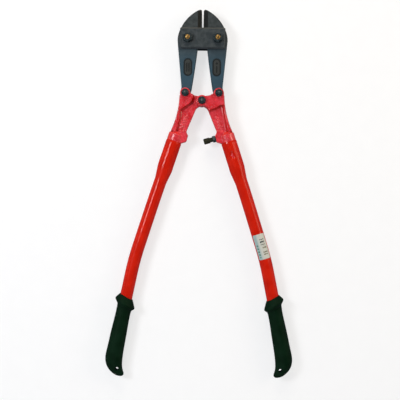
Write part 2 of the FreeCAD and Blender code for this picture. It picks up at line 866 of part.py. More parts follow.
def add_hexagon(body, name, flats, low, high, rounded_ends):
    """A hexagon between two heights, its corners cut off by a cone at the rounded ends."""
    corner = dim(flats) / math.sqrt(3)
    points = []
    for index in range(6):
        radians = math.radians(60 * index + 30)
        points.append((corner * math.cos(radians), corner * math.sin(radians)))
    sketch = new_sketch(body, name + "_hexagon_outline", height=low)
    draw_outline(sketch, points)
    extrude(body, "Pad", sketch, name + "_hexagon", f"{high} - {low}", False)
    inner = 0.475 * dim(flats)
    outer = 1.1 * corner
    drop = (outer - inner) * math.tan(math.radians(30))
    for end in rounded_ends:
        level = number(high) if end == FRONT else number(low)
        turn_upright(body, "Groove", f"{name}_{FACE_NAMES[end]}_corner_cut", (
            (inner, level + end * 0.01),
            (outer, level + end * 0.01),
            (outer, level - end * drop),
        ))


def make_bolt(name, pivot, side, hexagon, head_height, rear_seat, shoulder_end, thread_radius, end):
    """A hex bolt, its head on the rear. Heights are expressions from the middle plane."""
    body = new_fastener(name, pivot, side)
    seat = number(rear_seat)
    shoulder = number(shoulder_end)
    tip = number(end)
    radius = dim("pivot_radius")
    thread = dim(thread_radius)
    end_chamfer = 0.8
    profile = [
        (0.0, seat - 1.0),
        (radius, seat - 1.0),
        (radius, shoulder),
        (thread, shoulder),
        (thread, tip - end_chamfer),
        (thread - end_chamfer, tip),
        (0.0, tip),
    ]
    if thread == radius:
        del profile[2:4]
    turn_upright(body, "Revolution", name + "_shank", profile)
    add_hexagon(body, name, hexagon, f"({rear_seat} - {cell(head_height)})", rear_seat, (REAR,))


def make_nut(name, pivot, side, hexagon, seat, nut_height, thread_radius):
    """A hex nut that sits on seat, an expression from the middle plane."""
    body = new_fastener(name, pivot, side)
    top = f"({seat} + {cell(nut_height)})"
    add_hexagon(body, name, hexagon, seat, top, (FRONT, REAR))
    hole = new_sketch(body, name + "_thread_place")
    bore = f"({cell(thread_radius)} + {cell('thread_clearance')})"
    hole.addGeometry(Part.Circle(Vector(0, 0, 0), Vector(0, 0, 1), number(bore)))
    hole.addConstraint(Sketcher.Constraint("Coincident", 0, 3, -1, 1))
    bind(hole, Sketcher.Constraint("Radius", 0, number(bore)), bore)
    extrude(body, "Pocket", hole, name + "_thread", f"4 * {cell('mid_height')}")


def make_washer(name, pivot, side, outer_radius, hole_radius, low, thickness):
    """A washer from the height low up; hole_radius is the radius of the bolt that it sits on."""
    body = new_fastener(name, pivot, side)
    bottom = number(low)
    top = bottom + dim(thickness)
    inner = dim(hole_radius) + 0.2
    outer = dim(outer_radius)
    edge = 0.3
    turn_upright(body, "Revolution", name + "_ring", (
        (inner, bottom),
        (outer - edge, bottom),
        (outer, bottom + edge),
        (outer, top - edge),
        (outer - edge, top),
        (inner, top),
    ))


def make_jaw_fasteners(side):
    """The bolt that a jaw turns on, with its nut and two washers."""
    prefix = SIDE_NAMES[side] + "_jaw_"
    washer = cell("jaw_washer_thickness")
    front_seat = f"({STRAP_OUTER} + {washer})"
    rear_seat = f"(-{STRAP_OUTER} - {washer})"
    end = f"({front_seat} + {cell('jaw_nut_height')} + {cell('jaw_bolt_proud')})"
    make_bolt(prefix + "bolt", "jaw", side, "jaw_hex", "jaw_head_height", rear_seat, end,
              "pivot_radius", end)
    make_nut(prefix + "nut", "jaw", side, "jaw_hex", front_seat, "jaw_nut_height", "pivot_radius")
    for face, low in ((FRONT, STRAP_OUTER), (REAR, rear_seat)):
        make_washer(f"{prefix}{FACE_NAMES[face]}_washer", "jaw", side, "jaw_washer_radius",
                    "pivot_radius", low, "jaw_washer_thickness")


def make_arm_fasteners(prefix, pivot, side, rear_washer):
    """A shouldered bolt through a casting, with its nut and front washer."""
    cheek = cell("cheek_half")
    washer = cell("arm_washer_thickness")
    front_seat = f"({cheek} + {washer})"
    rear_seat = f"(-{cheek} - {washer})" if rear_washer else f"(-{cheek})"
    end = f"({front_seat} + {cell('arm_nut_height')} + {cell('arm_bolt_proud')})"
    make_bolt(prefix + "bolt", pivot, side, "arm_hex", "arm_head_height", rear_seat, cheek,
              "arm_thread_radius", end)
    make_nut(prefix + "nut", pivot, side, "arm_hex", front_seat, "arm_nut_height", "arm_thread_radius")
    make_washer(prefix + "washer", pivot, side, "arm_washer_radius", "arm_thread_radius", cheek,
                "arm_washer_thickness")
    if rear_washer:
        make_washer(prefix + "rear_washer", pivot, side, "arm_washer_radius", "pivot_radius",
                    rear_seat, "arm_washer_thickness")


def make_closing_stop():
    """The set screw in the right lug, its lock nut and its bumper."""
    start, angle = stop_axis()
    clearance = dim("thread_clearance")
    screw = dim("stop_screw_radius")
    screw_start = dim("stop_screw_start")
    screw_end = screw_start + dim("stop_screw_length")
    chamfer = 0.6
    turn(new_body("stop_screw"), "Revolution", "stop_screw_rod", start, angle, (
        (screw_start, 0.0),
        (screw_start, screw),
        (screw_end - chamfer, screw),
        (screw_end, screw - chamfer),
        (screw_end, 0.0),
    ))
    head = dim("bumper_length")
    neck_end = head + dim("bumper_neck_length")
    outer = dim("bumper_radius")
    neck = dim("bumper_neck_radius")
    turn(new_body("stop_bumper"), "Revolution", "stop_bumper_cap", start, angle, (
        (0.0, 0.0),
        (0.0, outer - 1.0),
        (1.0, outer),
        (head - 0.8, outer),
        (head, outer - 0.8),
        (head + 0.4, neck),
        (neck_end, neck),
        (neck_end, screw + clearance),
        (screw_start - 0.05, screw + clearance),
        (screw_start - 0.05, 0.0),
    ))
    make_lock_nut(start, angle, neck_end, screw + clearance)


def make_lock_nut(start, angle, low, bore):
    """The hex nut between the bumper's neck and the lug; its own Z axis is the screw's."""
    body = doc.addObject("PartDesign::Body", "stop_lock_nut")
    high = dim("stop_face_distance") - dim("thread_clearance")
    way = direction(angle)
    place = start + Vector(0, 0, dim("mid_height"))
    body.Placement = Placement(place, Rotation(Vector(0, 0, 1), way))
    add_hexagon(body, "stop_lock_nut", "arm_hex", str(low), str(high), (FRONT, REAR))
    hole = new_sketch(body, "stop_lock_nut_thread_place")
    hole.addGeometry(Part.Circle(Vector(0, 0, 0), Vector(0, 0, 1), bore))
    extrude(body, "Pocket", hole, "stop_lock_nut_thread", f"4 * {cell('mid_height')}")


# ------------------------------------------------------------------ build, check and write


for face in (FRONT, REAR):
    make_strap(face)
for side in (LEFT, RIGHT):
    make_jaw(side)
    make_casting(side)
    make_tube(side)
    make_grip(side)
    make_jaw_fasteners(side)
    make_arm_fasteners(SIDE_NAMES[side] + "_arm_", "arm", side, False)
make_arm_fasteners("centre_", "centre", RIGHT, True)
make_closing_stop()
doc.recompute()

NODES = ["front_strap", "rear_strap", "stop_screw", "stop_lock_nut", "stop_bumper", "price_label"]
NODES += ["centre_bolt", "centre_nut", "centre_washer", "centre_rear_washer"]
for side_name in SIDE_NAMES.values():
    for piece in ("jaw", "casting", "tube", "grip", "jaw_bolt", "jaw_nut", "jaw_front_washer",
                  "jaw_rear_washer", "arm_bolt", "arm_nut", "arm_washer"):
        NODES.append(f"{side_name}_{piece}")

failed = [item.Name for item in doc.Objects if {"Invalid", "Error"} & set(item.State)]
if failed:
    raise RuntimeError(f"failed: {failed}")

os.makedirs("parts", exist_ok=True)
for node in NODES:
    shape = doc.getObject(node).Shape
    if shape.isNull() or not shape.isValid() or len(shape.Solids) != 1:
        raise RuntimeError(f"{node} has no sound single solid")
    shape.exportStep(f"parts/{node}.step")
    print(f"{node}: {shape.Volume / 1000:.2f} cm3")
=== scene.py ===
import functools
import json
import math

import bmesh
import bpy
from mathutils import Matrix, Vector, noise
from mathutils.kdtree import KDTree

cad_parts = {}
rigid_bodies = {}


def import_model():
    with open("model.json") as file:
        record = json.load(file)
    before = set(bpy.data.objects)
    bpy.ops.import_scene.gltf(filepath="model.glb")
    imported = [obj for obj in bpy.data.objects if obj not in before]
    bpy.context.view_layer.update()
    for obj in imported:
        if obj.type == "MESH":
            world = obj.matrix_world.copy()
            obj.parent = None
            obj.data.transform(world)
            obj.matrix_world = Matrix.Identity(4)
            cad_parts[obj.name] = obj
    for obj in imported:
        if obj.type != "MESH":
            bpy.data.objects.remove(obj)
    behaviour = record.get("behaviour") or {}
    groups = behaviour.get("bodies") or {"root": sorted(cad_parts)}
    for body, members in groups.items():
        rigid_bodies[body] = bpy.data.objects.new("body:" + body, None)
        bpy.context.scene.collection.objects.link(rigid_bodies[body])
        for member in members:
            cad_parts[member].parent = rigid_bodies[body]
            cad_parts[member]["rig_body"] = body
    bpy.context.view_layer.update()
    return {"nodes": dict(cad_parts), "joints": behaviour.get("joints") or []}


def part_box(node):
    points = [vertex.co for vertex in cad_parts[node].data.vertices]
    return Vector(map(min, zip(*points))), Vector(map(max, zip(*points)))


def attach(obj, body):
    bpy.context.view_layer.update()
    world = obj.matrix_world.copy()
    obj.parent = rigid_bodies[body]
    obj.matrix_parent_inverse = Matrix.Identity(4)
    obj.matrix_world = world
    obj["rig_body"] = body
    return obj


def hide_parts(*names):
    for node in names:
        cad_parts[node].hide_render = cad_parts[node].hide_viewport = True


# The looks of the bolt cutters. The camera is above the tool, which lies on a pale floor.
# The castings, tubes, grips, bolts and label are finished pieces made around their CAD nodes.
# The jaws, joint plates, nuts, washers and closing stop are the CAD nodes with new materials.

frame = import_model()
scene = bpy.context.scene

MM = 0.001
SIDES = {"left": -1, "right": 1}
JOINTS = {joint["name"]: Vector(joint["pos_m"]) for joint in frame["joints"]}
MIDDLE = JOINTS["left_jaw_hinge"].z
UP = Vector((0, 0, 1))

# Jaws: the ground faces beside the gap, and the ovals pressed into both jaws.
GROUND_WIDTH = 8.1 * MM
GROUND_LENGTH = 9.0 * MM
OVAL_CENTRE = Vector((23.7, 55.0, 0)) * MM
OVAL_WIDTH = 13.8 * MM
OVAL_LENGTH = 29.0 * MM
OVAL_RIM = 0.8 * MM
OVAL_BORDER = 4.0 * MM

# Castings: half the recessed panel's thickness, the coves round it and the filed joint faces.
WEB_HALF = 6.0 * MM
COVE_WIDTH = 3.6 * MM
COVE_HEIGHT = 3.0 * MM
COLLAR_LENGTH = 15.0 * MM
FILED_RADIUS = 15.0 * MM
FILED_FADE = 4.0 * MM

# Tubes: wall, where the sleeve narrows to the long run, and the crimping dent.
TUBE_WALL = 1.8 * MM
NECK_START = 43.0 * MM
NECK_END = 72.0 * MM
DENT_FROM_END = 23.0 * MM
DENT_HALF_LENGTH = 7.5 * MM
DENT_HALF_WIDTH = 3.6 * MM
DENT_OUTWARD = 1.8 * MM
DENT_DEPTH = 2.3 * MM
DENT_LIP = 0.25 * MM
DENT_LIMIT = 45.0 * MM

# Bolts: shank radius, thread radius, pitch and head height.
JAW_BOLT = (4.0 * MM, 4.0 * MM, 1.25 * MM, 5.25 * MM)
ARM_BOLT = (4.0 * MM, 3.0 * MM, 1.0 * MM, 4.0 * MM)

# Label: its length, half its width, its corner radius and its thickness.
LABEL_LENGTH = 42.0 * MM
LABEL_HALF_WIDTH = 8.9 * MM
LABEL_CORNER = 1.6 * MM
LABEL_THICKNESS = 0.2 * MM

# Camera: height over the tool's middle, width of the view there, turn in degrees and x, y place.
CAMERA_HEIGHT = 1.3
CAMERA_FIELD = 0.66
CAMERA_TURN = 0.7
CAMERA_PLACE = (-1.1 * MM, -163.0 * MM)

# Lamps: name, azimuth and elevation in degrees, target, size in metres, watts and colour.
LAMP_DISTANCE = 1.6
LAMPS = (
    ("left_lamp", 162, 54, (-0.06, -0.12, 0), 0.42, 18.0, (0.93, 0.96, 1.0)),
    ("right_lamp", 20, 32, (0.05, -0.15, 0), 0.8, 12.0, (1.0, 0.86, 0.66)),
    ("top_lamp", 95, 38, (0, -0.05, 0), 0.8, 13.0, (1.0, 0.90, 0.76)),
    ("near_lamp", 262, 48, (0, -0.20, 0), 1.0, 6.0, (0.96, 0.98, 1.0)),
)

# Half the floor's side, in metres.
FLOOR_HALF = 60.0


# ------------------------------------------------------------------ mesh helpers


def add_object(name, mesh):
    """A new object in the scene."""
    made = bpy.data.objects.new(name, mesh)
    scene.collection.objects.link(made)
    return made


def mesh_from(name, points, faces, smooth=True):
    """A mesh whose faces all point outward."""
    mesh = bpy.data.meshes.new(name)
    mesh.from_pydata([tuple(point) for point in points], [], faces)
    tidy = bmesh.new()
    tidy.from_mesh(mesh)
    bmesh.ops.recalc_face_normals(tidy, faces=tidy.faces)
    tidy.to_mesh(mesh)
    tidy.free()
    for face in mesh.polygons:
        face.use_smooth = smooth
    return mesh


def soften_by_angle(piece, degrees):
    """Keeps edges sharper than the angle and shades the rest smooth."""
    piece.data.shade_smooth()
    piece.data.set_sharp_from_angle(angle=math.radians(degrees))


def bake_modifiers(piece):
    """Turns the piece's modifiers into its own mesh."""
    bpy.context.view_layer.update()
    graph = bpy.context.evaluated_depsgraph_get()
    mesh = bpy.data.meshes.new_from_object(piece.evaluated_get(graph))
    piece.modifiers.clear()
    piece.data = mesh


def remeshed_node(node, name, voxel, rounds):
    """A copy of a CAD node's surface with its edges rounded as a mould rounds them."""
    weld = 0.001 * MM
    source = bmesh.new()
    source.from_mesh(frame["nodes"][node].data)
    bmesh.ops.remove_doubles(source, verts=source.verts, dist=weld)
    mesh = bpy.data.meshes.new(name)
    source.to_mesh(mesh)
    source.free()
    if "custom_normal" in mesh.attributes:
        mesh.attributes.remove(mesh.attributes["custom_normal"])
    mesh.materials.clear()
    piece = add_object(name, mesh)
    remesh = piece.modifiers.new("remesh", "REMESH")
    remesh.mode = "VOXEL"
    remesh.voxel_size = voxel
    smooth = piece.modifiers.new("smooth", "SMOOTH")
    smooth.factor = 0.5
    smooth.iterations = rounds
    bake_modifiers(piece)
    piece.data.shade_smooth()
    return piece


def move_vertices(piece, shift):
    """Moves each vertex by shift(place, normal)."""
    mesh = piece.data
    places = [vertex.co.copy() for vertex in mesh.vertices]
    normals = [vertex.normal.copy() for vertex in mesh.vertices]
    for place, normal in zip(places, normals):
        place += shift(place, normal)
    mesh.vertices.foreach_set("co", [number for place in places for number in place])
    mesh.update()


def stand_in(piece, node, material):
    """The piece takes the place of a CAD node, on its body and with its finish."""
    piece.data.materials.clear()
    piece.data.materials.append(material)
    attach(piece, frame["nodes"][node]["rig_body"])
    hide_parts(node)


def ring_faces(rings, around, closed=False):
    """Faces between neighbouring rings of points; closed also joins the last to the first."""
    faces = []
    for ring in range(rings if closed else rings - 1):
        following = (ring + 1) % rings
        for index in range(around):
            beside = (index + 1) % around
            faces.append((ring * around + index, ring * around + beside,
                          following * around + beside, following * around + index))
    return faces


def step(low, high, value):
    """Rises smoothly from 0 at low to 1 at high."""
    share = min(1.0, max(0.0, (value - low) / (high - low)))
    return share * share * (3 - 2 * share)


# ------------------------------------------------------------------ material helpers


class Paint:
    """A material under construction: its shader and the nodes that feed it."""

    def __init__(self, name, **constants):
        self.material = bpy.data.materials.new(name)
        self.material.use_nodes = True
        self.tree = self.material.node_tree
        self.shader = self.tree.nodes["Principled BSDF"]
        for socket, value in constants.items():
            self.shader.inputs[socket.replace("_", " ")].default_value = value
        self.place = self.node("ShaderNodeTexCoord").outputs["Object"]
        self.normal = None

    def node(self, kind, **settings):
        """A new shader node with its settings."""
        made = self.tree.nodes.new(kind)
        for setting, value in settings.items():
            setattr(made, setting, value)
        return made

    def feed(self, target, value):
        """Links a socket, or sets a number or colour."""
        if isinstance(value, bpy.types.NodeSocket):
            self.tree.links.new(value, target)
        else:
            target.default_value = value

    def math(self, operation, first, second=0.0):
        """One arithmetic operation on numbers or sockets."""
        made = self.node("ShaderNodeMath", operation=operation)
        self.feed(made.inputs[0], first)
        self.feed(made.inputs[1], second)
        return made.outputs[0]

    def times(self, first, second):
        """The product of two numbers or sockets."""
        return self.math("MULTIPLY", first, second)

    def noise(self, per_metre, detail=3.0, roughness=0.55, stretch=(1, 1, 1)):
        """Cloudy values from 0 to 1, per_metre lumps in a metre."""
        mapping = self.node("ShaderNodeMapping")
        mapping.inputs["Scale"].default_value = stretch
        self.feed(mapping.inputs["Vector"], self.place)
        made = self.node("ShaderNodeTexNoise")
        self.feed(made.inputs["Vector"], mapping.outputs["Vector"])
        made.inputs["Scale"].default_value = per_metre
        made.inputs["Detail"].default_value = detail
        made.inputs["Roughness"].default_value = roughness
        return made.outputs["Fac"]

    def spots(self, per_metre, randomness=1.0):
        """Distance to the nearest of scattered points."""
        made = self.node("ShaderNodeTexVoronoi")
        self.feed(made.inputs["Vector"], self.place)
        made.inputs["Scale"].default_value = per_metre
        made.inputs["Randomness"].default_value = randomness
        return made.outputs["Distance"]

    def between(self, value, low, high, to_low=0.0, to_high=1.0):
        """Maps low to to_low and high to to_high, smoothly and clamped."""
        made = self.node("ShaderNodeMapRange", interpolation_type="SMOOTHSTEP")
        self.feed(made.inputs["Value"], value)
        made.inputs["From Min"].default_value = low
        made.inputs["From Max"].default_value = high
        made.inputs["To Min"].default_value = to_low
        made.inputs["To Max"].default_value = to_high
        return made.outputs["Result"]

    def blend(self, share, first, second):
        """first where share is 0, second where it is 1."""
        made = self.node("ShaderNodeMix", data_type="RGBA")
        self.feed(made.inputs["Factor"], share)
        self.feed(made.inputs["A"], first)
        self.feed(made.inputs["B"], second)
        return made.outputs["Result"]

    def axes(self, place=None):
        """The x, y and z of a place, or of the shaded point when none is given."""
        made = self.node("ShaderNodeSeparateXYZ")
        self.feed(made.inputs[0], self.place if place is None else place)
        return made.outputs

    def turned_place(self, origin, angle):
        """The place seen from origin, with the frame turned by angle about Z."""
        made = self.node("ShaderNodeMapping", vector_type="TEXTURE")
        made.inputs["Location"].default_value = origin
        made.inputs["Rotation"].default_value = (0, 0, angle)
        self.feed(made.inputs["Vector"], self.place)
        return made.outputs["Vector"]

    def bump(self, height, depth):
        """Adds relief: depth in metres for a height of 1."""
        made = self.node("ShaderNodeBump")
        made.inputs["Strength"].default_value = 1.0
        made.inputs["Distance"].default_value = depth
        self.feed(made.inputs["Height"], height)
        if self.normal is not None:
            self.feed(made.inputs["Normal"], self.normal)
        self.normal = made.outputs["Normal"]
        self.feed(self.shader.inputs["Normal"], self.normal)

    def facing(self):
        """How far the surface faces forward or back: 1 on the flat faces, 0 on their sides."""
        shape = self.node("ShaderNodeNewGeometry").outputs["Normal"]
        return self.math("ABSOLUTE", self.axes(shape)["Z"])

    def attribute(self, name):
        """A number that the mesh holds at each vertex."""
        return self.node("ShaderNodeAttribute", attribute_name=name).outputs["Fac"]

    def colour(self, value):
        """The paint's own colour."""
        self.feed(self.shader.inputs["Base Color"], value)

    def roughness(self, value):
        """How matt the paint is, from 0 to 1."""
        self.feed(self.shader.inputs["Roughness"], value)


def rgb(red, green, blue):
    """An opaque colour in linear light."""
    return (red, green, blue, 1.0)


# ------------------------------------------------------------------ materials


def cast_enamel():
    """Thick glossy red enamel over a rough sand casting, with painted shade at the foot of the steps,
    painted warm light on its rounded sides and painted pink reflection specks.
    """
    paint = Paint("cast_enamel", Coat_Weight=0.4, Coat_Roughness=0.14, Specular_IOR_Level=0.35)
    broad = paint.noise(90, 3.0)
    grain = paint.noise(520, 4.0, 0.6)
    pits = paint.spots(430)
    patches = paint.between(broad, 0.35, 0.7)
    red = paint.blend(patches, rgb(0.46, 0.010, 0.014), rgb(0.56, 0.022, 0.034))
    speckled = paint.times(paint.between(grain, 0.30, 0.48, 1.0, 0.0), 0.5)
    red = paint.blend(speckled, red, rgb(0.26, 0.003, 0.005))
    # Painted reflection: pale pink specks on the grain stand in for the lamps' sheen on the enamel.
    painted_sheen_specks = paint.times(paint.between(grain, 0.55, 0.68), 0.28)
    red = paint.blend(painted_sheen_specks, red, rgb(0.72, 0.17, 0.22))
    # Painted light: the rounded sides are tinted orange-red as if lit by a warm lamp.
    rounded = paint.between(paint.facing(), 0.45, 0.93, 1.0, 0.0)
    red = paint.blend(paint.times(rounded, 0.7), red, rgb(0.70, 0.030, 0.006))
    # Painted shade: a deeper, saturated red in the coves at the foot of the steps.
    paint.colour(paint.blend(paint.attribute("painted_step_shade"), red, rgb(0.40, 0.001, 0.001)))
    paint.roughness(paint.between(broad, 0.3, 0.7, 0.24, 0.38))
    paint.bump(paint.noise(260, 2.0), 0.40 * MM)
    paint.bump(grain, 0.34 * MM)
    paint.bump(paint.between(pits, 0.0, 0.30), 0.12 * MM)
    return paint.material


def tube_enamel():
    """Smooth red enamel with a little orange peel and a few scuffs."""
    paint = Paint("tube_enamel", Coat_Weight=0.14, Coat_Roughness=0.08, Specular_IOR_Level=0.05)
    broad = paint.noise(38, 2.0)
    scuffs = paint.noise(900, 2.0, 0.5, (1.0, 0.12, 1.0))
    patches = paint.between(broad, 0.3, 0.7)
    red = paint.blend(patches, rgb(0.42, 0.0080, 0.0015), rgb(0.50, 0.0120, 0.0025))
    scuffed = paint.times(paint.between(scuffs, 0.66, 0.74), 0.35)
    paint.colour(paint.blend(scuffed, red, rgb(0.25, 0.005, 0.003)))
    paint.roughness(paint.between(broad, 0.3, 0.7, 0.22, 0.32))
    paint.bump(paint.noise(620, 1.0), 0.02 * MM)
    paint.bump(paint.noise(60, 2.0), 0.18 * MM)
    return paint.material


def forged_steel(name, dark, light):
    """Blued forged steel: its paint, its mottled colour, its roughness and its scratches."""
    paint = Paint(name, Metallic=0.5, Specular_IOR_Level=0.45)
    mottle = paint.noise(170, 4.0, 0.6)
    scratches = paint.noise(1400, 2.0, 0.5, (1.0, 0.06, 1.0))
    steel = paint.blend(paint.between(mottle, 0.35, 0.68), dark, light)
    bright = paint.times(paint.between(scratches, 0.66, 0.76), 0.25)
    steel = paint.blend(bright, steel, rgb(0.12, 0.13, 0.14))
    paint.bump(paint.noise(300, 4.0), 0.05 * MM)
    paint.bump(scratches, 0.015 * MM)
    return paint, steel, paint.between(mottle, 0.3, 0.7, 0.40, 0.56)


def oval_share(paint, centre, width, length):
    """1 inside an upright oval on either jaw, 0 outside it."""
    axes = paint.axes()
    across = paint.math("SUBTRACT", paint.math("ABSOLUTE", axes["X"]), centre.x)
    along = paint.math("ABSOLUTE", paint.math("SUBTRACT", axes["Y"], centre.y))
    beyond = paint.math("MAXIMUM", paint.math("SUBTRACT", along, (length - width) / 2), 0.0)
    squares = paint.math("ADD", paint.times(across, across), paint.times(beyond, beyond))
    reach = paint.math("SQRT", squares)
    soft = 0.15 * MM
    return paint.between(reach, width / 2 - soft, width / 2 + soft, 1.0, 0.0)


def jaw_steel():
    """The jaws: blued, bluer at the tails, with ground bevels and dark pressed ovals."""
    paint, steel, rough = forged_steel("jaw_steel", rgb(0.022, 0.028, 0.029), rgb(0.036, 0.044, 0.045))
    axes = paint.axes()
    inward = paint.math("ABSOLUTE", axes["X"])
    low_end = paint.between(axes["Y"], 48 * MM, 108 * MM, 1.0, 0.0)
    steel = paint.blend(low_end, steel, rgb(0.024, 0.058, 0.082))

    face_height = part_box("right_jaw")[1].z - MIDDLE
    flat = paint.between(paint.facing(), 0.80, 0.95)
    height = paint.math("ABSOLUTE", paint.math("SUBTRACT", axes["Z"], MIDDLE))
    below = paint.math("LESS_THAN", height, face_height - 0.15 * MM)
    oval = oval_share(paint, OVAL_CENTRE, OVAL_WIDTH + OVAL_RIM, OVAL_LENGTH + OVAL_RIM)
    inside = oval_share(paint, OVAL_CENTRE, OVAL_WIDTH - OVAL_BORDER, OVAL_LENGTH - OVAL_BORDER)
    steel = paint.blend(paint.times(oval, 0.65), steel, rgb(0.006, 0.010, 0.012))
    steel = paint.blend(paint.times(inside, 0.8), steel, rgb(0.034, 0.036, 0.030))
    pressed = paint.times(paint.times(oval, below), flat)
    steel = paint.blend(paint.times(pressed, 0.9), steel, rgb(0.005, 0.006, 0.006))

    across = paint.between(inward, GROUND_WIDTH, GROUND_WIDTH + 0.5 * MM, 1.0, 0.0)
    strap_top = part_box("front_strap")[1].y
    along = paint.between(axes["Y"], strap_top - GROUND_LENGTH, strap_top - GROUND_LENGTH + 1 * MM)
    ground = paint.times(across, along)
    marks = paint.noise(2600, 2.0, 0.5, (0.04, 1.0, 1.0))
    lines = paint.between(marks, 0.35, 0.65)
    ground_steel = paint.blend(lines, rgb(0.004, 0.005, 0.005), rgb(0.012, 0.013, 0.012))
    paint.colour(paint.blend(ground, steel, ground_steel))
    paint.roughness(paint.math("ADD", rough, paint.times(ground, 0.15)))
    paint.bump(paint.times(ground, marks), 0.02 * MM)
    return paint.material


def strap_steel():
    """The joint plates, a little greyer than the jaws, with a painted warm highlight on the sides along
    their top edge.
    """
    paint, steel, rough = forged_steel("strap_steel", rgb(0.024, 0.032, 0.035), rgb(0.040, 0.049, 0.052))
    edges = paint.between(paint.facing(), 0.3, 0.9, 1.0, 0.0)
    strap_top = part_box("front_strap")[1].y
    top = paint.between(paint.axes()["Y"], strap_top - 4 * MM, strap_top - 2 * MM)
    # Painted highlight: a pale warm line on the side faces near the top edge.
    painted_top_edge_highlight = paint.times(paint.times(edges, top), 0.7)
    paint.colour(paint.blend(painted_top_edge_highlight, steel, rgb(0.21, 0.18, 0.13)))
    paint.roughness(rough)
    return paint.material


def black_oxide(name, dark, light):
    """Oiled dark fasteners."""
    paint = Paint(name, Metallic=0.6, Specular_IOR_Level=0.5)
    mottle = paint.noise(700, 3.0)
    paint.colour(paint.blend(paint.between(mottle, 0.3, 0.7), dark, light))
    paint.roughness(paint.between(mottle, 0.3, 0.7, 0.26, 0.42))
    paint.bump(mottle, 0.03 * MM)
    return paint.material


def yellow_zinc():
    """Yellow-passivated bolts."""
    paint = Paint("yellow_zinc", Metallic=0.85, Specular_IOR_Level=0.5)
    mottle = paint.noise(650, 3.0)
    patches = paint.between(mottle, 0.3, 0.7)
    paint.colour(paint.blend(patches, rgb(0.17, 0.09, 0.02), rgb(0.34, 0.21, 0.07)))
    paint.roughness(paint.between(mottle, 0.3, 0.7, 0.24, 0.42))
    paint.bump(mottle, 0.02 * MM)
    return paint.material


def grip_rubber():
    """Near-black moulded rubber with a green cast and a fine stipple."""
    paint = Paint("grip_rubber", Specular_IOR_Level=0.04)
    broad = paint.noise(60, 3.0)
    stipple = paint.spots(900, 0.8)
    patches = paint.between(broad, 0.3, 0.7)
    paint.colour(paint.blend(patches, rgb(0.0010, 0.0085, 0.0028), rgb(0.0022, 0.0130, 0.0050)))
    paint.roughness(paint.between(broad, 0.3, 0.7, 0.46, 0.58))
    paint.bump(paint.between(stipple, 0.0, 0.6), 0.06 * MM)
    paint.bump(broad, 0.10 * MM)
    return paint.material


def bumper_rubber():
    """The closing stop's dark olive cap."""
    paint = Paint("bumper_rubber", Specular_IOR_Level=0.10)
    mottle = paint.noise(500, 3.0)
    patches = paint.between(mottle, 0.3, 0.7)
    paint.colour(paint.blend(patches, rgb(0.008, 0.009, 0.004), rgb(0.020, 0.021, 0.010)))
    paint.roughness(paint.between(mottle, 0.3, 0.7, 0.42, 0.60))
    paint.bump(mottle, 0.06 * MM)
    return paint.material


def label_paper(centre, angle, width, length):
    """White coated paper with a faded teal edge and plain printed bars that stand for nothing."""
    paint = Paint("label_paper", Specular_IOR_Level=0.35)
    axes = paint.axes(paint.turned_place(centre, angle))
    across = axes["X"]
    along = axes["Y"]
    bar_edge = 0.22
    fibre = paint.noise(1500, 3.0)
    patches = paint.between(paint.noise(500, 1.0), 0.2, 0.5)
    paper = paint.blend(fibre, rgb(0.40, 0.41, 0.36), rgb(0.50, 0.50, 0.44))
    teal = paint.between(across, -0.30 * width, -0.12 * width, 1.0, 0.0)
    paper = paint.blend(paint.times(teal, 0.8), paper, rgb(0.22, 0.34, 0.33))

    def printed(low_across, high_across, low_along, high_along, spacing):
        """Bars across the label inside a box; the box and spacing are shares of the label's size."""
        pulse = paint.math("PINGPONG", paint.math("DIVIDE", along, spacing * length), 0.5)
        bar = paint.math("GREATER_THAN", pulse, bar_edge)
        for axis, low, high, size in ((across, low_across, high_across, width),
                                      (along, low_along, high_along, length)):
            above = paint.math("GREATER_THAN", axis, low * size)
            below = paint.math("LESS_THAN", axis, high * size)
            bar = paint.times(bar, paint.times(above, below))
        return bar

    for block, ink in (((-0.04, 0.36, 0.06, 0.30, 0.12), rgb(0.03, 0.04, 0.04)),
                       ((0.06, 0.42, -0.12, 0.03, 0.10), rgb(0.12, 0.11, 0.06)),
                       ((0.02, 0.42, -0.38, -0.18, 0.09), rgb(0.12, 0.11, 0.07)),
                       ((-0.42, -0.28, -0.42, 0.10, 0.12), rgb(0.05, 0.14, 0.10))):
        paper = paint.blend(paint.times(printed(*block), patches), paper, ink)
    paint.colour(paper)
    paint.roughness(paint.between(fibre, 0.3, 0.7, 0.34, 0.48))
    paint.bump(fibre, 0.02 * MM)
    return paint.material


# ------------------------------------------------------------------ castings


def step_walls(places, normals, collar_y):
    """The places of the steps that rise from the recessed panel above the collar, on each face."""
    lowest = WEB_HALF + 1.8 * MM
    highest = WEB_HALF + 4.5 * MM
    walls = {1: KDTree(len(places)), -1: KDTree(len(places))}
    for index, (place, normal) in enumerate(zip(places, normals)):
        height = abs(place.z - MIDDLE)
        is_step = lowest < height < highest and abs(normal.z) < 0.6
        if is_step and place.y > collar_y:
            face = 1 if place.z > MIDDLE else -1
            walls[face].insert((place.x, place.y, 0), index)
    for tree in walls.values():
        tree.balance()
    return walls


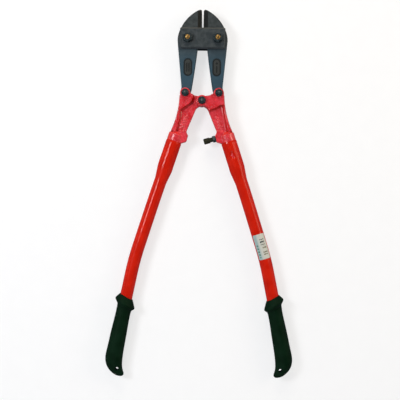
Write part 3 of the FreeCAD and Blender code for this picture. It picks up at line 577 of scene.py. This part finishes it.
def add_coves(mesh, collar_y):
    """Fills the foot of each step with a hollow curve, and marks painted shade there, fading up the
    wall.
    """
    panel = WEB_HALF - 0.6 * MM
    rim = WEB_HALF + 7.0 * MM
    places = [vertex.co.copy() for vertex in mesh.vertices]
    walls = step_walls(places, [vertex.normal.copy() for vertex in mesh.vertices], collar_y)
    painted_step_shade = [0.0] * len(places)
    for index, place in enumerate(places):
        height = abs(place.z - MIDDLE)
        if not panel < height < rim:
            continue
        face = 1 if place.z > MIDDLE else -1
        distance = walls[face].find((place.x, place.y, 0))[2]
        if distance is None or distance > COVE_WIDTH:
            continue
        share = 1 - distance / COVE_WIDTH
        # The painted shade fades out higher up the step's wall.
        shade_fade = step(WEB_HALF + 3.5 * MM, WEB_HALF + 6.0 * MM, height)
        painted_step_shade[index] = step(0.0, 0.35, share) * (1 - shade_fade)
        place.z = MIDDLE + face * max(height, WEB_HALF + COVE_HEIGHT * share * share)
    mesh.vertices.foreach_set("co", [number for place in places for number in place])
    mesh.attributes.new("painted_step_shade", "FLOAT", "POINT").data.foreach_set("value", painted_step_shade)
    mesh.update()


def cast_flash_share(side, place):
    """The parting line is filed away at the ear and the centre joint, where other pieces turn."""
    ear = JOINTS[side + "_handle_hinge"]
    from_ear = math.hypot(place.x - ear.x, place.y - ear.y)
    from_centre = math.hypot(place.x, place.y)
    clear = FILED_RADIUS + FILED_FADE
    return step(FILED_RADIUS, clear, from_ear) * step(FILED_RADIUS, clear, from_centre)


def finish_casting(side, material):
    """Rounds the casting's edges and steps, adds its parting line and a rough sand-cast skin."""
    node = side + "_casting"
    piece = remeshed_node(node, side + "_cast_arm", 0.55 * MM, 3)
    add_coves(piece.data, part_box(side + "_tube")[1].y + COLLAR_LENGTH)
    line_half = 0.55 * MM
    line_height = 0.35 * MM
    lump_size = 4.5 * MM
    lump_height = 0.07 * MM

    def shift(place, normal):
        flat = Vector((normal.x, normal.y, 0))
        near_line = 1 - step(0, line_half, abs(place.z - MIDDLE))
        flash = line_height * near_line * step(0.85, 0.98, flat.length)
        lump = noise.noise(place / lump_size) * lump_height
        return normal * (flash * cast_flash_share(side, place) + lump)

    move_vertices(piece, shift)
    stand_in(piece, node, material)


# ------------------------------------------------------------------ tubes


@functools.cache
def edges_of(node):
    """The two ends of each of a CAD node's edges."""
    mesh = frame["nodes"][node].data
    places = [vertex.co.copy() for vertex in mesh.vertices]
    return [(places[edge.vertices[0]], places[edge.vertices[1]]) for edge in mesh.edges]


@functools.cache
def slice_node(node, level):
    """The middle x and the half-height of a node where the plane y = level cuts it."""
    xs = []
    zs = []
    for first, second in edges_of(node):
        if (first.y - level) * (second.y - level) < 0:
            share = (level - first.y) / (second.y - first.y)
            spot = first.lerp(second, share)
            xs.append(spot.x)
            zs.append(spot.z)
    return (min(xs) + max(xs)) / 2, (max(zs) - min(zs)) / 2


def tube_radii(node):
    """The tube's outer radius over the spigot and in its long run."""
    low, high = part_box(node)
    sleeve = slice_node(node, high.y - 16 * MM)[1]
    run = slice_node(node, (low.y + high.y) / 2)[1]
    return sleeve, run


def tube_line(node):
    """Evenly spaced points on the tube's centre line, read from its CAD node, with its ends."""
    low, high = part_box(node)
    margin = 14 * MM
    count = 44
    points = []
    for index in range(count + 1):
        level = high.y - margin + (low.y - high.y + 2 * margin) * index / count
        points.append(Vector((slice_node(node, level)[0], level, MIDDLE)))
    sleeve, run = tube_radii(node)
    for end, inner, target, radius in ((0, 3, high.y, sleeve), (-1, -4, low.y, run)):
        way = (points[end] - points[inner]).normalized()
        lean = abs(way.x) * radius
        point = points[end] + way * ((abs(target - points[end].y) - lean) / abs(way.y))
        if end == 0:
            points.insert(0, point)
        else:
            points.append(point)
    return points


def walk(points, spacing):
    """Places along a line, evenly spaced, each with its distance from the start and its way."""
    places = []
    travelled = 0.0
    for first, second in zip(points, points[1:]):
        length = (second - first).length
        way = (second - first) / length
        steps = max(1, round(length / spacing))
        for index in range(steps):
            further = length * index / steps
            places.append((first + way * further, travelled + further, way))
        travelled += length
    places.append((points[-1], travelled, way))
    return places


def dent_depth(side, distance, angle, radius):
    """How far the crimping dent presses the sleeve in: front on the right, rear on the left."""
    facing = math.pi / 2 * SIDES[side]
    outward = DENT_OUTWARD * SIDES[side]
    around = math.remainder(angle - facing, 2 * math.pi) * radius * -SIDES[side]
    along_share = (distance - DENT_FROM_END) / DENT_HALF_LENGTH
    across_share = (around - outward) / DENT_HALF_WIDTH
    share = math.sqrt(along_share ** 2 + across_share ** 2)
    pressed = DENT_DEPTH * (1 - step(0.35, 1.1, share))
    lip = DENT_LIP * math.exp(-((share - 1.25) / 0.22) ** 2)
    return pressed - lip


def make_tube(side, material):
    """The tube handle as one smooth hollow sweep, with a flared sleeve and a crimped dent."""
    node = side + "_tube"
    line = tube_line(node)
    sleeve, run = tube_radii(node)
    around = 64
    rings = []
    for place, distance, way in walk(line, 2.0 * MM):
        neck = step(NECK_START, NECK_END, distance)
        radius = sleeve + (run - sleeve) * neck
        lip = 0.5 * MM * (1 - step(0, 0.8 * MM, distance))
        rings.append((place, way, radius - lip, distance))
    points = []
    for inside in (False, True):
        for place, way, radius, distance in (reversed(rings) if inside else rings):
            sideways = way.cross(UP).normalized()
            for index in range(around):
                angle = 2 * math.pi * index / around
                reach = radius - TUBE_WALL if inside else radius
                if distance < DENT_LIMIT:
                    reach -= dent_depth(side, distance, angle, radius)
                level = UP * (math.sin(angle) * reach)
                points.append(place + sideways * (math.cos(angle) * reach) + level)
    faces = ring_faces(2 * len(rings), around, closed=True)
    name = side + "_tube_handle"
    piece = add_object(name, mesh_from(name, points, faces))
    soften_by_angle(piece, 50)
    stand_in(piece, node, material)


# ------------------------------------------------------------------ grips


def finish_grip(side, material):
    """The moulded grip, with a parting line along its narrow sides."""
    node = side + "_grip"
    piece = remeshed_node(node, side + "_grip_cover", 0.8 * MM, 4)
    line_half = 0.9 * MM
    line_height = 0.22 * MM

    def shift(place, normal):
        flat = math.hypot(normal.x, normal.y)
        near_line = 1 - step(0, line_half, abs(place.z - MIDDLE))
        return normal * (line_height * near_line * step(0.9, 0.99, flat))

    move_vertices(piece, shift)
    stand_in(piece, node, material)


# ------------------------------------------------------------------ bolts


def make_bolt(node, size, material):
    """A hex bolt with a chamfered, dished head and a real helical thread at its free end."""
    shank, thread, pitch, head = size
    low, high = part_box(node)
    centre = (low + high) / 2
    flats = high.x - low.x
    dish = 0.35 * MM
    chamfer = 0.45 * MM + 0.02 * flats
    dome = 0.9 * MM
    thread_start = high.z - 5.0 * MM
    dome_start = high.z - dome
    groove_depth = 0.55 * pitch
    per_turn = 12
    around = 48
    points = []

    def add_ring(reach, height):
        for index in range(around):
            angle = 2 * math.pi * index / around
            points.append((centre.x + reach(angle) * math.cos(angle),
                           centre.y + reach(angle) * math.sin(angle), height))

    def hexagon(angle):
        return flats / 2 / math.cos(math.remainder(angle, math.pi / 3))

    def round_at(radius):
        return lambda angle: radius

    def threaded(level, height):
        """The groove's outline at one level, cut to a cone below the dome."""
        def reach(angle):
            phase = (level / per_turn - angle / (2 * math.pi)) % 1.0
            groove = groove_depth * (1 - abs(2 * phase - 1))
            return min(thread - groove, thread - dome + (dome_start - height))
        return reach

    add_ring(round_at(0.30 * flats), low.z + dish)
    add_ring(round_at(0.36 * flats), low.z)
    add_ring(round_at(0.475 * flats), low.z)
    add_ring(hexagon, low.z + chamfer)
    add_ring(hexagon, low.z + head)
    add_ring(round_at(shank), low.z + head)
    add_ring(round_at(shank), thread_start)
    level = 0
    height = thread_start + pitch * 0.5 / per_turn
    while height <= dome_start:
        add_ring(threaded(level, height), height)
        level += 1
        height = thread_start + pitch * (level + 0.5) / per_turn
    for rise in (10, 30, 50, 70, 85):
        turned = math.radians(rise)
        add_ring(round_at((thread - dome) * math.cos(turned)), dome_start + dome * math.sin(turned))

    rings = len(points) // around
    faces = ring_faces(rings, around)
    faces.append(tuple(range(around)))
    faces.append(tuple(range((rings - 1) * around, rings * around)))
    name = node.replace("_bolt", "_hex_bolt")
    piece = add_object(name, mesh_from(name, points, faces))
    soften_by_angle(piece, 28)
    stand_in(piece, node, material)


# ------------------------------------------------------------------ label


def tube_middle(level):
    """The centre of the right tube at the height y = level."""
    return Vector((slice_node("right_tube", level)[0], level, MIDDLE))


def label_faces(long_steps, turn_steps):
    """The faces of a thin sheet: its two sides and the strip round its border."""
    row_size = turn_steps + 1
    layer_size = row_size * (long_steps + 1)
    faces = []
    for row in range(long_steps):
        for column in range(turn_steps):
            first = row * row_size + column
            square = (first, first + 1, first + row_size + 1, first + row_size)
            faces.append(square)
            faces.append(tuple(layer_size + index for index in reversed(square)))
    border = list(range(turn_steps))
    border += [row * row_size + turn_steps for row in range(long_steps)]
    border += [long_steps * row_size + column for column in range(turn_steps, 0, -1)]
    border += [row * row_size for row in range(long_steps, 0, -1)]
    for index, first in enumerate(border):
        second = border[(index + 1) % len(border)]
        faces.append((first, second, second + layer_size, first + layer_size))
    return faces


def make_label():
    """The paper label: a thin curved sheet with rounded corners that follows the tube."""
    node = "price_label"
    low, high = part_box(node)
    middle_y = (low.y + high.y) / 2
    spread = 15 * MM
    upper = tube_middle(middle_y + spread)
    lower = tube_middle(middle_y - spread)
    way = (lower - upper).normalized()
    across = UP.cross(way)
    centre = (upper + lower) / 2
    radius = tube_radii("right_tube")[1]
    half_turn = math.asin(LABEL_HALF_WIDTH / (high.z - MIDDLE)) * 1.06
    ripple_height = 0.04 * MM
    ripple_size = 9 * MM
    gap = 0.02 * MM
    long_steps = 42
    turn_steps = 28
    points = []
    for layer in (0, 1):
        for row in range(long_steps + 1):
            along = LABEL_LENGTH * (row / long_steps - 0.5)
            from_end = LABEL_LENGTH / 2 - abs(along)
            into_corner = LABEL_CORNER - min(LABEL_CORNER, from_end)
            inset = LABEL_CORNER - math.sqrt(max(0.0, LABEL_CORNER ** 2 - into_corner ** 2))
            middle = tube_middle((centre + way * along).y)
            for column in range(turn_steps + 1):
                share = 2 * column / turn_steps - 1
                turn = share * (half_turn - inset / radius)
                ripple = ripple_height * noise.noise(Vector((share * 3, along / ripple_size, 0.5)))
                reach = radius + gap + layer * (LABEL_THICKNESS + ripple)
                sideways = across * (math.sin(turn) * reach)
                points.append(middle + sideways + UP * (math.cos(turn) * reach))
    name = "paper_label"
    piece = add_object(name, mesh_from(name, points, label_faces(long_steps, turn_steps)))
    soften_by_angle(piece, 40)
    angle = -math.atan2(-way.x, -way.y)
    width = 2 * radius * math.sin(half_turn)
    stand_in(piece, node, label_paper(centre, angle, width, LABEL_LENGTH))


# ------------------------------------------------------------------ floor, light and camera


def make_floor():
    """A plain floor with a glow of its own that brings it to white, and not mirrored in gloss."""
    half = FLOOR_HALF
    corners = [(-half, -half, 0), (half, -half, 0), (half, half, 0), (-half, half, 0)]
    floor = add_object("floor", mesh_from("floor", corners, [(0, 1, 2, 3)], smooth=False))
    paint = Paint("floor_paper", Roughness=0.9, Specular_IOR_Level=0.1, Emission_Strength=0.66)
    paint.shader.inputs["Emission Color"].default_value = rgb(1.0, 1.0, 1.0)
    paint.colour(paint.blend(paint.noise(40, 2.0), rgb(0.25, 0.25, 0.25), rgb(0.27, 0.27, 0.27)))
    floor.data.materials.append(paint.material)
    floor.visible_glossy = False


def add_area_light(name, azimuth, elevation, target, size, power, colour):
    """A square soft light, LAMP_DISTANCE from its target in a direction given in degrees."""
    data = bpy.data.lights.new(name, "AREA")
    data.shape = "SQUARE"
    data.size = size
    data.energy = power
    data.color = colour
    light = add_object(name, data)
    turn = math.radians(azimuth)
    rise = math.radians(elevation)
    way = Vector((math.cos(turn) * math.cos(rise), math.sin(turn) * math.cos(rise), math.sin(rise)))
    light.location = Vector(target) + way * LAMP_DISTANCE
    light.rotation_euler = way.to_track_quat("Z", "Y").to_euler()


def make_light():
    """A surround that is white at the horizon and dark above and below, and soft lamps round it."""
    world = bpy.data.worlds.new("surround")
    world.use_nodes = True
    tree = world.node_tree
    height = tree.nodes.new("ShaderNodeSeparateXYZ")
    tree.links.new(tree.nodes.new("ShaderNodeTexCoord").outputs["Generated"], height.inputs[0])
    from_level = tree.nodes.new("ShaderNodeMath")
    from_level.operation = "ABSOLUTE"
    tree.links.new(height.outputs["Z"], from_level.inputs[0])
    from_top = tree.nodes.new("ShaderNodeMath")
    from_top.operation = "SUBTRACT"
    from_top.inputs[0].default_value = 1.0
    tree.links.new(from_level.outputs[0], from_top.inputs[1])
    fade = tree.nodes.new("ShaderNodeMath")
    fade.operation = "POWER"
    fade.inputs[1].default_value = 4.0
    tree.links.new(from_top.outputs[0], fade.inputs[0])
    mix = tree.nodes.new("ShaderNodeMix")
    mix.data_type = "RGBA"
    mix.inputs["A"].default_value = rgb(0.10, 0.12, 0.17)
    mix.inputs["B"].default_value = rgb(1.05, 1.05, 1.05)
    tree.links.new(fade.outputs[0], mix.inputs["Factor"])
    tree.links.new(mix.outputs["Result"], tree.nodes["Background"].inputs["Color"])
    scene.world = world
    for lamp in LAMPS:
        add_area_light(*lamp)


def make_camera():
    """Looks straight down on the tool, turned a little."""
    data = bpy.data.cameras.new("camera")
    data.sensor_width = 36.0
    data.lens = data.sensor_width * CAMERA_HEIGHT / CAMERA_FIELD
    camera = add_object("camera", data)
    camera.location = (*CAMERA_PLACE, MIDDLE + CAMERA_HEIGHT)
    camera.rotation_euler = (0, 0, math.radians(CAMERA_TURN))
    scene.camera = camera


# ------------------------------------------------------------------ assembly


def give_material(node, material):
    """A finished material on a CAD node that keeps its shape."""
    slots = frame["nodes"][node].data.materials
    slots.clear()
    slots.append(material)


make_camera()
make_light()
make_floor()
scene.view_settings.view_transform = "Standard"

enamel = cast_enamel()
tube_paint = tube_enamel()
rubber = grip_rubber()
jaw_finish = jaw_steel()
oxide = black_oxide("black_oxide", rgb(0.010, 0.018, 0.020), rgb(0.030, 0.046, 0.050))
dark_bolt = black_oxide("dark_bolt", rgb(0.030, 0.044, 0.044), rgb(0.060, 0.082, 0.080))
zinc = yellow_zinc()
for side in SIDES:
    finish_casting(side, enamel)
    make_tube(side, tube_paint)
    finish_grip(side, rubber)
    make_bolt(side + "_jaw_bolt", JAW_BOLT, zinc)
    make_bolt(side + "_arm_bolt", ARM_BOLT, dark_bolt)
    give_material(side + "_jaw", jaw_finish)
    for piece in ("jaw_nut", "jaw_front_washer", "jaw_rear_washer", "arm_nut", "arm_washer"):
        give_material(f"{side}_{piece}", oxide)
make_bolt("centre_bolt", ARM_BOLT, dark_bolt)
for node in ("centre_nut", "centre_washer", "centre_rear_washer", "stop_screw", "stop_lock_nut"):
    give_material(node, oxide)
give_material("stop_bumper", bumper_rubber())
strap_finish = strap_steel()
for node in ("front_strap", "rear_strap"):
    give_material(node, strap_finish)
make_label()
